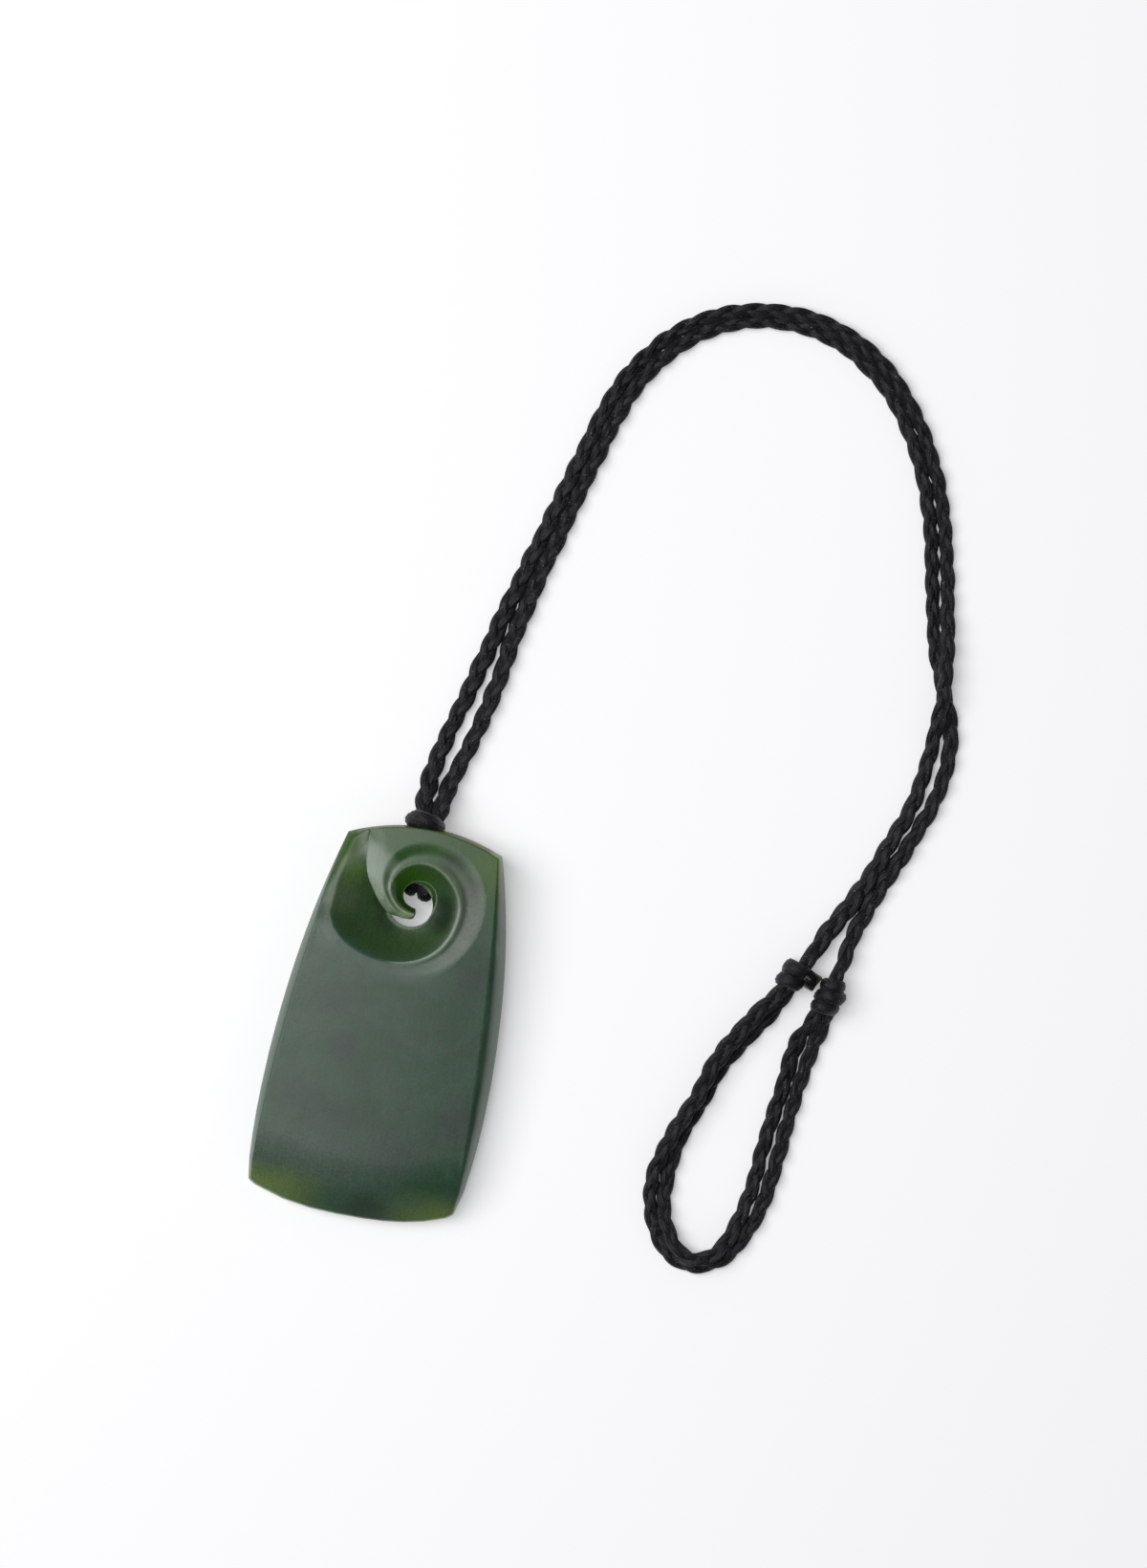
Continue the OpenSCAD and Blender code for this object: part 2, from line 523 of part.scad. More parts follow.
// A strand's way into the stone: under the bar, down the tunnel and round the bridge's lower edge
function strand_in(route, x, under_bar_x) =
    let (mid_z = (tunnel_z + leg_z) / 2, turn_r = (tunnel_z - leg_z) / 2)
    concat([route[0] - end_gap * along(route, 0),
            [blend(under_bar_x, route[0].x, 0.2), bar_y + 1, tunnel_z - 0.1],
            [under_bar_x, bar_y, tunnel_z], [x, mouth_y - 0.8, tunnel_z], [x, turn_y + 2, tunnel_z]],
           [for (a = [90:22.5:270]) [x, turn_y + turn_r * cos(a), mid_z + turn_r * sin(a)]]);
// The legs run back up the groove, out round both strands, and meet in the bar in front of them
function leg_out(x, leg_x, inward) =
    [[x, turn_y + 2, leg_z], [x, mouth_y + 0.3, leg_z], [blend(x, leg_x, 0.5), bar_y - 0.1, leg_z + 0.3],
     [leg_x, bar_y, leg_z + 1.5], [leg_x, bar_y, bar_z - 1.5], [leg_x + 0.4 * inward, bar_y + 0.1, bar_z - 0.5],
     [leg_x + 1.3 * inward, bar_y + 0.2, bar_z]];
function reversed(list) = [for (i = [len(list) - 1:-1:0]) list[i]];

module hitch() {
    color([0.14, 0.14, 0.16])
        tube(concat(strand_in(LEFT_ROUTE, cord_x[0], middle_x - hitch_d / 2 - clear / 2),
                    leg_out(cord_x[0], middle_x - 1.5 * (hitch_d + clear), 1),
                    reversed(leg_out(cord_x[1], middle_x + 1.5 * (hitch_d + clear), -1)),
                    reversed(strand_in(RIGHT_ROUTE, cord_x[1], middle_x + hitch_d / 2 + clear / 2))),
             12, hitch_d);
}

module cord_left() {
    color([0.12, 0.12, 0.14])
        tube(LEFT_ROUTE, 8, cord_d);
}

module cord_right() {
    color([0.16, 0.16, 0.18])
        tube(RIGHT_ROUTE, 8, cord_d);
}

// Turns of cord side by side round a strand; the axis is level and points as the strand runs
module turns_round(at, heading_to, count) {
    turn_r = cord_d / 2 + clear + wrap_t - wrap_w / 2;
    translate(at)
        rotate([0, 90, heading_to])
            for (i = [0:count - 1])
                translate([0, 0, (i - (count - 1) / 2) * wrap_pitch])
                    rotate([0, wrap_tilt, 0])
                        rotate_extrude()
                            translate([turn_r, 0])
                                circle(d = wrap_w);
}
module core_bore(at, heading_to) {
    translate(at)
        rotate([0, 90, heading_to])
            cylinder(h = 14, d = cord_d + 2 * clear, center = true);
}

// The cord that ends in a knot is carried on into it by a short stub, so that the two meet face to face
module end_stub(route) {
    last = len(route) - 1;
    ahead = along(route, last);
    translate(route[last] + end_gap * ahead)
        rotate([0, acos(ahead.z), atan2(ahead.y, ahead.x)])
            cylinder(h = 2, d = cord_d);
}

module knot_left() {
    color([0.2, 0.2, 0.22])
        difference() {
            union() {
                turns_round(left_knot_at, left_knot_heading, 2);
                end_stub(RIGHT_ROUTE);
                // Melted end of the cord that made the knot
                translate([61.6, 20.3, 2.9])
                    rotate([0, 90, 0])
                        cylinder(h = 2.1, d = 2.3);
            }
            core_bore(left_knot_at, left_knot_heading);
        }
}

module knot_right() {
    color([0.2, 0.2, 0.22])
        difference() {
            union() {
                turns_round(right_knot_at, right_knot_heading, 3);
                end_stub(LEFT_ROUTE);
            }
            core_bore(right_knot_at, right_knot_heading);
        }
}

stone();
hitch();
cord_left();
cord_right();
knot_left();
knot_right();
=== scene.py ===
import bpy
from math import sin, cos, pi, radians, hypot
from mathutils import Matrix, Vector, noise


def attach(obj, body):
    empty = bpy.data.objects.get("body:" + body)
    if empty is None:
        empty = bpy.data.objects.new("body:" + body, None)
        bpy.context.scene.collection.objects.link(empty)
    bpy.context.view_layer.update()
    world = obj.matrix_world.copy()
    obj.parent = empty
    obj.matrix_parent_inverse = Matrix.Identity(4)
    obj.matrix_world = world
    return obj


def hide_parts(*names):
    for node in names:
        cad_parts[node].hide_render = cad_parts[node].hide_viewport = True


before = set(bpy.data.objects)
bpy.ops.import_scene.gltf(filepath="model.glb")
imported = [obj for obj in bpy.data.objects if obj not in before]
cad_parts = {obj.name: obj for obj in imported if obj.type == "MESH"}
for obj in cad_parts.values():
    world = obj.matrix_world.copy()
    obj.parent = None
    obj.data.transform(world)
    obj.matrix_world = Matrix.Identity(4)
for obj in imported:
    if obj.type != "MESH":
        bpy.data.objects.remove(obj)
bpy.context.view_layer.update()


# Camera: straight down on the laid-out pendant from about 70 cm, with the picture's long
# side turned a little against the stone's own axis.
camera_data = bpy.data.cameras.new("camera")
camera_data.lens = 100
camera_data.sensor_fit = "VERTICAL"
camera_data.sensor_height = 36
camera = bpy.data.objects.new("camera", camera_data)
camera.location = (0.02039, 0.04243, 0.683)
camera.rotation_euler = (0, 0, radians(11.6))
bpy.context.scene.collection.objects.link(camera)
bpy.context.scene.camera = camera


# Cord: two strands of black waxed cotton, each plaited from three flattened bundles of thread.
# They leave the stone side by side, cross once, and close in two knots and a short doubled loop.
MM = 0.001
# One bundle comes round to the same edge again after this length
PLAIT_LENGTH = 11.7 * MM
BUNDLE_WIDTH, BUNDLE_THICKNESS = 1.38 * MM, 0.95 * MM
BUNDLE_SWING, BUNDLE_RISE = 0.66 * MM, 0.31 * MM
THREADS_IN_BUNDLE = 7
RING_STEP = 0.5 * MM
# The threads of a bundle are twisted too, by 0.35 of a turn in this length
THREAD_TWIST = 9 * MM


def smooth_line(points, step):
    """Even steps along a soft curve through the points, each with four numbers."""
    points = [Vector(p) for p in points]
    ends = [points[0] * 2 - points[1]] + points + [points[-1] * 2 - points[-2]]
    parts = 24
    fine = []
    for a, b, c, d in zip(ends, ends[1:], ends[2:], ends[3:]):
        for i in range(parts):
            t = i / parts
            fine.append(0.5 * (2 * b + (c - a) * t + (2 * a - 5 * b + 4 * c - d) * t * t
                               + (3 * b - a - 3 * c + d) * t ** 3))
    fine.append(points[-1])
    line, walked, wanted = [fine[0]], 0.0, step
    for p, q in zip(fine, fine[1:]):
        span = (q.xyz - p.xyz).length
        while span > 0 and walked + span >= wanted:
            line.append(p.lerp(q, (wanted - walked) / span))
            wanted += step
        walked += span
    return line


def plait(name, line, outward, seed):
    """One plaited cord along a line; the fourth number of a point is its width there.

    Hand plaiting is uneven, so the plait drifts and rolls, and each bundle swings and swells.
    """
    verts, faces, along_mm = [], [], []
    sides = THREADS_IN_BUNDLE * 4
    count = len(line)
    for bundle in range(3):
        centres = []
        for i, p in enumerate(line):
            ahead = (line[min(i + 1, count - 1)].xyz - line[max(i - 1, 0)].xyz).normalized()
            up = outward(i, p.xyz, ahead)
            up = (up - ahead * up.dot(ahead)).normalized()
            side = ahead.cross(up)
            s = i * RING_STEP
            drift = noise.noise(Vector((s * 18, seed, 0.5)))
            turn = 2 * pi * (s / PLAIT_LENGTH + bundle / 3) + 0.7 * drift
            roll = 0.6 * noise.noise(Vector((s * 30, seed, 7.5)))
            side, up = side * cos(roll) + up * sin(roll), up * cos(roll) - side * sin(roll)
            swing = BUNDLE_SWING * p.w * (1 + 0.25 * noise.noise(Vector((s * 60, seed, bundle))))
            centres.append((p.xyz + side * swing * sin(turn) + up * BUNDLE_RISE * sin(2 * turn),
                            side, up, p.w))
        for i, (centre, side, up, narrow) in enumerate(centres):
            ahead = (centres[min(i + 1, count - 1)][0] - centres[max(i - 1, 0)][0]).normalized()
            flat = (side - ahead * side.dot(ahead)).normalized()
            thick = flat.cross(ahead)
            s = i * RING_STEP
            twist = 2 * pi * s / THREAD_TWIST * (1 if bundle % 2 else -1)
            swell = 1 + 0.14 * noise.noise(Vector((s * 220, seed + bundle, 3.5)))
            for k in range(sides):
                a = 2 * pi * k / sides
                ridge = 1 + 0.08 * cos(THREADS_IN_BUNDLE * a)
                b = a + twist * 0.35
                r = ridge * swell * (1 + 0.03 * noise.noise(Vector((s * 500, k * 0.9, seed))))
                verts.append(centre + flat * cos(b) * r * BUNDLE_WIDTH / 2 * narrow
                             + thick * sin(b) * r * BUNDLE_THICKNESS / 2)
                along_mm.append((s / MM, k / sides, bundle))
        base = bundle * count * sides
        for i in range(count - 1):
            for k in range(sides):
                a, b = base + i * sides + k, base + i * sides + (k + 1) % sides
                faces.append((a, a + sides, b + sides, b))
        faces.append(tuple(base + k for k in range(sides)))
        faces.append(tuple(base + (count - 1) * sides + k for k in reversed(range(sides))))
    mesh = bpy.data.meshes.new(name)
    mesh.from_pydata(verts, [], faces)
    mesh.polygons.foreach_set("use_smooth", [True] * len(mesh.polygons))
    lay = mesh.uv_layers.new(name="thread")
    for loop in mesh.loops:
        s, share, bundle = along_mm[loop.vertex_index]
        lay.data[loop.index].uv = (s / 10, share + bundle)
    mesh.update()
    piece = bpy.data.objects.new(name, mesh)
    bpy.context.scene.collection.objects.link(piece)
    return piece


def linear(code):
    """An sRGB hex colour as the linear colour that a shader takes."""
    parts = [int(code[i:i + 2], 16) / 255 for i in (0, 2, 4)]
    return tuple(c / 12.92 if c <= 0.04045 else ((c + 0.055) / 1.055) ** 2.4 for c in parts) + (1.0,)


def add(tree, kind, links=None, **settings):
    """A node with its settings and what its inputs are linked to or hold."""
    node = tree.nodes.new("ShaderNode" + kind)
    for key, value in settings.items():
        setattr(node, key, value)
    for key, value in (links or {}).items():
        if isinstance(value, bpy.types.NodeSocket):
            tree.links.new(value, node.inputs[key])
        else:
            node.inputs[key].default_value = value
    return node


def ramp_stops(node, stops):
    """Colours of a ramp, each at its place."""
    stops_of = node.color_ramp.elements
    while len(stops_of) < len(stops):
        stops_of.new(0.5)
    for stop, (place, colour) in zip(stops_of, stops):
        stop.position = place
        stop.color = linear(colour) if isinstance(colour, str) else colour
    return node


# Waxed cotton thread: dyed black, wound in bundles, drawn through wax. Dull with a faint sheen
# on the crown of each thread; painted shade in the threads' valleys and painted highlights on their
# crowns, and pale specks that are painted highlights.
waxed_cotton = bpy.data.materials.new("waxed_cotton_black")
waxed_cotton.use_nodes = True
tree = waxed_cotton.node_tree
cloth = tree.nodes["Principled BSDF"]
cloth.inputs["Roughness"].default_value = 0.55
cloth.inputs["IOR"].default_value = 1.45
cloth.inputs["Sheen Weight"].default_value = 0.12
cloth.inputs["Sheen Roughness"].default_value = 0.4
place = add(tree, "TexCoord")
# Threads: streaks 0.9 mm long and 0.2 mm wide; one unit of the UV is 10 mm along, 3.5 mm across
thread_lay = add(tree, "UVMap", uv_map="thread")
drawn_out = add(tree, "VectorMath", {0: thread_lay.outputs["UV"], 1: (11, 17, 1)},
                operation="MULTIPLY")
fibre = add(tree, "TexNoise", {"Vector": drawn_out.outputs["Vector"], "Scale": 1, "Detail": 3,
                               "Roughness": 0.65})
# Painted highlights: pale specks of about a quarter of a millimetre
speck = add(tree, "TexNoise", {"Vector": place.outputs["Object"], "Scale": 3800, "Detail": 1})
# Painted shade and highlights: the threads are darker in their valleys and paler on their crowns, where
# the bump is highest
thread_painted_shading = ramp_stops(add(tree, "ValToRGB", {"Fac": fibre.outputs["Fac"]}),
                          [(0.33, "050506"), (0.5, "0e0f12"), (0.66, "292a2f"), (0.78, "494b51")])
painted_specks = ramp_stops(add(tree, "ValToRGB", {"Fac": speck.outputs["Fac"]}),
                  [(0.7, (0, 0, 0, 1)), (0.78, (1, 1, 1, 1))])
flecked = add(tree, "Mix", {0: painted_specks.outputs["Color"], 6: thread_painted_shading.outputs["Color"],
                            7: linear("85888f")}, data_type="RGBA")
tree.links.new(flecked.outputs[2], cloth.inputs["Base Color"])
fuzz = add(tree, "Bump", {"Height": fibre.outputs["Fac"], "Strength": 0.8, "Distance": 0.15 * MM})
tree.links.new(fuzz.outputs["Normal"], cloth.inputs["Normal"])

# Each point: across, along, up, and how wide the cord is there against its usual width
LEFT_WAY = [(-1.25, 30.4, 4.4, 0.85), (-1.5, 32.3, 4.3, 1), (-1.8, 34.8, 3.5, 1.18),
            (-1.8, 37, 2.4, 1.18), (-1.6, 40, 1.4, 1.12), (-0.7, 45, 1, 1.05),
            (1.6, 54, 1, 1.05), (4.4, 66, 1, 1.05),
            (8.4, 81.5, 1, 1), (13.5, 100.9, 1, 0.97), (17.2, 109, 1, 0.93), (23.1, 115.9, 1.2, 0.88),
            (31, 120.1, 1.6, 0.86), (40, 121.4, 1.9, 0.86), (48.4, 119.8, 1.8, 0.86),
            (55.9, 115.5, 1.5, 0.86),
            (61.7, 109.1, 1.2, 0.86), (65.8, 102.3, 1, 0.86), (69, 94.3, 1, 0.86), (71.3, 85.5, 1, 0.86),
            (73.2, 76, 2.2, 0.88), (74.1, 69.5, 2.8, 0.9), (74.3, 66, 2.7, 0.9), (74.2, 62.4, 2, 0.9),
            (74, 56.5, 1, 0.92), (72.9, 49.2, 1, 0.95), (70.4, 42, 1, 1), (67.7, 34.8, 1, 1.08),
            (64.2, 27.8, 1.5, 1.12), (61.9, 22.8, 2.6, 0.9), (58.5, 17, 2.6, 0.9), (55.2, 12.2, 2.7, 1),
            (51.2, 5, 2.7, 1), (49, -2, 2.7, 0.95), (46.2, -9, 2.5, 0.92), (44.9, -16, 1.4, 0.9),
            (46.2, -21.8, 1, 0.9), (49.5, -26.4, 1, 0.9), (54, -27.7, 1, 0.9), (58.2, -25.6, 1, 0.9),
            (60.9, -21.4, 1, 0.9), (62.8, -15, 1, 0.9), (63.6, -7, 1, 0.9), (64.2, 1, 1, 0.9),
            (65.3, 9.2, 1, 0.95), (66.0, 12.2, 1.2, 0.95), (66.4, 14.6, 1.5, 0.9),
            (66.5, 16.4, 1.8, 0.8)]
RIGHT_WAY = [(1.05, 30.4, 4.4, 0.85), (0.6, 32.3, 4.3, 0.9), (1, 34.8, 3.5, 1.15), (1.2, 37, 2.4, 1.15),
             (1.9, 40, 1.4, 1.1), (3.3, 45, 1, 1.05), (5.3, 54, 1, 1.05), (7.1, 66, 1, 1.05),
             (10.6, 81.1, 1, 1), (15.5, 100.3, 1, 0.97), (19, 107.9, 1, 0.93),
             (24.5, 114.5, 1, 0.88), (31.7, 118.5, 1, 0.86), (39.9, 119.8, 1, 0.86),
             (47.8, 118.1, 1, 0.86), (54.8, 113.9, 1, 0.86), (60.1, 107.9, 1, 0.86),
             (63.9, 101.4, 1, 0.86), (66.9, 93.6, 1, 0.86), (69, 85, 1, 0.86), (71.3, 75.7, 1, 0.88),
             (73.8, 69.5, 1, 0.9), (75.3, 66, 1, 0.9), (76.6, 62.4, 1, 0.9), (77.1, 56, 1, 0.92),
             (75.6, 48.6, 1, 0.95), (72.8, 41.2, 1, 1), (70, 34.1, 1, 1), (68.1, 28.1, 1.5, 1),
             (66.9, 21.8, 2.6, 0.85), (64.5, 14.1, 2.5, 0.85), (62.7, 9.3, 1.2, 1), (62, 2, 1, 0.95),
             (61, -6, 1, 0.9), (60.5, -14, 1, 0.9), (58.9, -20.8, 1.6, 0.9), (56.8, -25, 2.4, 0.9),
             (53.7, -26.6, 2.7, 0.9), (50.6, -25.2, 2.4, 0.9), (48.1, -21.2, 1.6, 0.9),
             (47.1, -16, 1, 0.92),
             (47.8, -9, 1, 0.95), (50, -2, 1, 1), (52.3, 4.6, 1, 1), (56.4, 11.2, 1, 1),
             (58.6, 15, 1.1, 0.95), (59.8, 17.3, 1.3, 0.8), (60.6, 19, 1.6, 0.7)]


def lying(i, p, ahead):
    """A cord that lies on the table keeps its flat side up."""
    return Vector((0, 0, 1))


def in_metres(way):
    """A route's points in metres; its widths stay shares."""
    return [(x * MM, y * MM, z * MM, w) for x, y, z, w in way]


cord_lines = {}
for name, way, node, seed in (("strand_left", LEFT_WAY, "cord_left", 3.5),
                              ("strand_right", RIGHT_WAY, "cord_right", 8.5)):
    line = smooth_line(in_metres(way), RING_STEP)
    strand = plait(name, line, lying, seed)
    strand.data.materials.append(waxed_cotton)
    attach(strand, "root")
    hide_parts(node)
    cord_lines[name] = (strand, line)


# Neck knots: the end of each strand is wound round the other and drawn tight, so that the
# knots slide and the loop can be let out. One end was melted to a small hard bead.
LEFT_KNOT, LEFT_KNOT_TURN = Vector((60.2, 19.9, 2.6)) * MM, radians(239.6)
RIGHT_KNOT, RIGHT_KNOT_TURN = Vector((66.0, 17.9, 2.6)) * MM, radians(252.5)
TURN_RADIUS, TURN_THICKNESS = 1.55 * MM, 1.55 * MM
TIGHT_SIDES = 44


def tight_roll(name, line, outward, width, thick, seed):
    """A cord drawn so tight that its plait closes to one roll of threads."""
    verts, faces, along = [], [], []
    count = len(line)
    for i, p in enumerate(line):
        ahead = (line[min(i + 1, count - 1)].xyz - line[max(i - 1, 0)].xyz).normalized()
        up = outward(i, p.xyz, ahead)
        up = (up - ahead * up.dot(ahead)).normalized()
        side = ahead.cross(up)
        s = i * RING_STEP
        end = min(i, count - 1 - i) * RING_STEP / (0.9 * MM)
        shut = 1 if end >= 1 else (1 - (1 - end) ** 2) ** 0.5 * 0.9 + 0.1
        bunch = 0.1 * sin(2 * pi * s / (PLAIT_LENGTH / 3) + seed)
        for k in range(TIGHT_SIDES):
            a = 2 * pi * k / TIGHT_SIDES
            lump = (1 + bunch * cos(2 * a + seed)
                    + 0.1 * noise.noise(Vector((s * 500, cos(a), sin(a) + seed))))
            thread = 1 + 0.04 * cos(11 * a + s / (0.8 * MM))
            round_it = side * cos(a) * width / 2 + up * sin(a) * thick / 2
            verts.append(p.xyz + round_it * lump * thread * p.w * shut)
            along.append((s / MM, k / TIGHT_SIDES * 1.6))
    for i in range(count - 1):
        for k in range(TIGHT_SIDES):
            a, b = i * TIGHT_SIDES + k, i * TIGHT_SIDES + (k + 1) % TIGHT_SIDES
            faces.append((a, a + TIGHT_SIDES, b + TIGHT_SIDES, b))
    faces.append(tuple(range(TIGHT_SIDES)))
    faces.append(tuple((count - 1) * TIGHT_SIDES + k for k in reversed(range(TIGHT_SIDES))))
    mesh = bpy.data.meshes.new(name)
    mesh.from_pydata(verts, [], faces)
    mesh.polygons.foreach_set("use_smooth", [True] * len(mesh.polygons))
    lay = mesh.uv_layers.new(name="thread")
    for loop in mesh.loops:
        s, share = along[loop.vertex_index]
        lay.data[loop.index].uv = (s / 10, share)
    mesh.update()
    piece = bpy.data.objects.new(name, mesh)
    bpy.context.scene.collection.objects.link(piece)
    return piece


def wound_turns(name, at, heading, turns, pitch, start, bulge, width, seed):
    """A tight cord wound round a level axis; it bulges to one side in the middle turn."""
    axis = Vector((cos(heading), sin(heading), 0))
    across = Vector((-axis.y, axis.x, 0))
    points = []
    steps = int(turns * 12)
    for i in range(steps + 1):
        a = start + 2 * pi * turns * i / steps
        share = i / steps
        end = min(i, steps - i) / 4
        radius = TURN_RADIUS * (1 if end >= 1 else 0.62 + 0.38 * end) * (0.9 + 0.16 * sin(pi * share))
        points.append((at + axis * pitch * turns * (share - 0.5) + across * bulge * sin(pi * share)
                       + (across * cos(a) + Vector((0, 0, 1)) * sin(a)) * radius).to_tuple() + (1.0,))
    line = smooth_line(points, RING_STEP)

    def away_from_axis(i, p, ahead):
        off = p - at
        return off - axis * off.dot(axis)
    return tight_roll(name, line, away_from_axis, width, TURN_THICKNESS, seed)


left_knot = wound_turns("sliding_knot_left", LEFT_KNOT, LEFT_KNOT_TURN, 1.75, 2.1 * MM, -0.4,
                        -0.3 * MM, 2.3 * MM, 2.0)
right_knot = wound_turns("sliding_knot_right", RIGHT_KNOT, RIGHT_KNOT_TURN, 2.75, 1.8 * MM, -0.4,
                         0.35 * MM, 2.1 * MM, 5.0)
for knot, node in ((left_knot, "knot_left"), (right_knot, "knot_right")):
    knot.data.materials.append(waxed_cotton)
    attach(knot, "root")
    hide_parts(node)

# Melted wax and cotton: scorched to a smooth, hard, nearly black bead that shines.
melted_cord = bpy.data.materials.new("melted_cord_end")
melted_cord.use_nodes = True
tree = melted_cord.node_tree
bead_gloss = tree.nodes["Principled BSDF"]
bead_gloss.inputs["Roughness"].default_value = 0.22
bead_gloss.inputs["IOR"].default_value = 1.45
place = add(tree, "TexCoord")
scorch = add(tree, "TexNoise", {"Vector": place.outputs["Object"], "Scale": 900, "Detail": 3})
char = ramp_stops(add(tree, "ValToRGB", {"Fac": scorch.outputs["Fac"]}),
                  [(0.35, "060606"), (0.62, "121110"), (0.78, "4a3520")])
# Painted highlight: its free end, at the right, is painted a paler brown along the bead's right edge
across_mm = add(tree, "SeparateXYZ", {"Vector": place.outputs["Object"]}).outputs["X"]
right_end_highlight = add(tree, "MapRange", {"Value": across_mm, "From Min": 0.0636, "From Max": 0.0641})
end_highlight_tint = add(tree, "Mix", {0: right_end_highlight.outputs["Result"], 6: char.outputs["Color"],
                             7: linear("4b4032")}, data_type="RGBA")
tree.links.new(end_highlight_tint.outputs[2], bead_gloss.inputs["Base Color"])
dents = add(tree, "Bump", {"Height": scorch.outputs["Fac"], "Strength": 0.6, "Distance": 0.2 * MM})
tree.links.new(dents.outputs["Normal"], bead_gloss.inputs["Normal"])

bpy.ops.object.select_all(action="DESELECT")
bpy.ops.mesh.primitive_cylinder_add(vertices=24, radius=1.4 * MM, depth=2.4 * MM,
                                    location=(62.85 * MM, 19.85 * MM, 2.9 * MM))
melted_end = bpy.context.object
melted_end.name = "melted_cord_end"
bpy.ops.object.mode_set(mode="EDIT")
bpy.ops.transform.rotate(value=radians(90), orient_axis="Y", center_override=melted_end.location)
bpy.ops.transform.rotate(value=radians(24), orient_axis="Z", center_override=melted_end.location)
bpy.ops.mesh.bevel(offset=0.35 * MM, segments=3, affect="EDGES", clamp_overlap=True)
bpy.ops.mesh.subdivide(number_cuts=1)
bpy.ops.object.mode_set(mode="OBJECT")
bpy.ops.object.transform_apply(location=True, rotation=True, scale=True)
for v in melted_end.data.vertices:
    v.co += v.normal * 0.2 * MM * noise.noise(v.co * 700)
bpy.ops.object.shade_smooth()
melted_end.data.materials.append(melted_cord)
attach(melted_end, "root")
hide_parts("knot_left")


# Hitch: the middle of the cord goes down a hidden tunnel, turns back round a thin bridge of
# stone in the eye, comes up a groove in the back and crosses both strands above the butt.
HITCH_WAY = [(-1.25, 30.9, 4.45, 0.8), (-1.25, 28, 4.45, 0.8), (-1.25, 24.4, 4.45, 0.8),
             (-1.25, 22.4, 4.4, 1), (-1.25, 21.4, 3.7, 1.05), (-1.25, 21.2, 2.7, 1.05),
             (-1.25, 21.6, 1.7, 1), (-1.25, 22.8, 1.15, 0.85), (-1.25, 26, 1.15, 0.8),
             (-1.25, 30, 1.15, 0.8), (-1.5, 31.6, 1.2, 0.8), (-2.6, 32.2, 1.8, 0.85),
             (-3.15, 32.0, 3.2, 0.9), (-3.2, 32.0, 5, 1.05), (-2.8, 32.2, 6.3, 1.15),
             (-1.9, 32.35, 7.0, 1.15), (-0.9, 32.3, 7.2, 1.1), (0.1, 32.05, 7.0, 1.1),
             (0.9, 31.8, 6.3, 1.05), (1.25, 31.7, 5, 0.95),
             (1.35, 31.8, 3.2, 0.85), (1.3, 31.8, 1.8, 0.8), (1.2, 31.3, 1.2, 0.8),
             (1.05, 30, 1.15, 0.8), (1.05, 26, 1.15, 0.8), (1.05, 22.8, 1.15, 0.85),
             (1.08, 21.3, 1.7, 1), (1.1, 20.8, 2.7, 1.1), (1.1, 21.0, 3.7, 1.1),
             (1.05, 22.4, 4.4, 1), (1.05, 24.4, 4.45, 0.8), (1.05, 28, 4.45, 0.8),
             (1.05, 30.9, 4.45, 0.8)]
hitch_line = smooth_line(in_metres(HITCH_WAY), RING_STEP)
around = Vector((-0.6, 27.0, 2.8)) * MM


def hitch_side_out(i, p, ahead):
    """Flat side towards the strands where it crosses them, and up and down in the stone."""
    if p.y < 31.2 * MM:
        return Vector((0, p.y - around.y if p.y < 23 * MM else 0, p.z - around.z))
    return Vector((p.x - around.x, 0.6 * MM, p.z - 4.4 * MM))


hitch = tight_roll("hitch_loop", hitch_line, hitch_side_out, 2.3 * MM, 1.8 * MM, 6.0)
hitch.data.materials.append(waxed_cotton)
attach(hitch, "root")
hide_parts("hitch")

for name, pieces_on in (("strand_left", (hitch, left_knot, melted_end)),
                        ("strand_right", (right_knot,))):
    strand, line = cord_lines[name]


# Stone: one slab of nephrite jade, sawn to an adze shape, drilled, carved with a burr and then
# sanded by hand to a satin face. Light goes a little way in at its thin edges; that glow is painted into
# its colour.
cad_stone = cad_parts["stone"]
bpy.ops.object.select_all(action="DESELECT")
adze = bpy.data.objects.new("adze_stone", cad_stone.data.copy())
bpy.context.scene.collection.objects.link(adze)
bpy.context.view_layer.objects.active = adze
adze.select_set(True)
bpy.ops.object.mode_set(mode="EDIT")
bpy.ops.mesh.select_all(action="SELECT")
bpy.ops.mesh.remove_doubles(threshold=0.002 * MM)
bpy.ops.mesh.tris_convert_to_quads(face_threshold=radians(12), shape_threshold=radians(20))
bpy.ops.object.mode_set(mode="OBJECT")
# The ridge runs level where one corner of it stood proud; sizes on the stone are in mm
PROUD_CORNER, RIDGE_HEIGHT = (5.97, 14.5, 8.6), 8.43
for v in adze.data.vertices:
    if (v.co / MM - Vector(PROUD_CORNER)).length < 0.06:
        v.co.z = RIDGE_HEIGHT * MM

# The stone is shaded smooth but for its real edges: the waist, the butt, the rims and the
# frond's overhanging edge
sides_of = {}
for face in adze.data.polygons:
    for key in face.edge_keys:
        sides_of.setdefault(key, []).append(face.normal)
for edge in adze.data.edges:
    normals = sides_of[tuple(sorted(edge.vertices))]
    turn = normals[0].angle(normals[1], pi) if len(normals) == 2 else pi
    edge.use_edge_sharp = turn > radians(40)
bpy.ops.object.shade_smooth(keep_sharp_edges=True)

# How deep the burr went below the level face, kept for the stone's colour, which is deeper
# and livelier where fresh stone was opened up, and for the painted light and shade in the carving
STONE_THICK, WEDGE_FALL, TAPER_FROM, HALF_LENGTH, HALF_WIDTH = 9.0, 3.2, 15.0, 31.2, 17.5


def level_face(x, y):
    """Height of the uncarved face, which falls towards the blade, the butt and the sides."""
    down = max(0.0, TAPER_FROM - y) / (TAPER_FROM + HALF_LENGTH)
    up = max(0.0, y - TAPER_FROM) / (HALF_LENGTH - TAPER_FROM)
    return STONE_THICK - WEDGE_FALL * down - 0.5 * up ** 2 - 0.5 * (x / HALF_WIDTH) ** 2


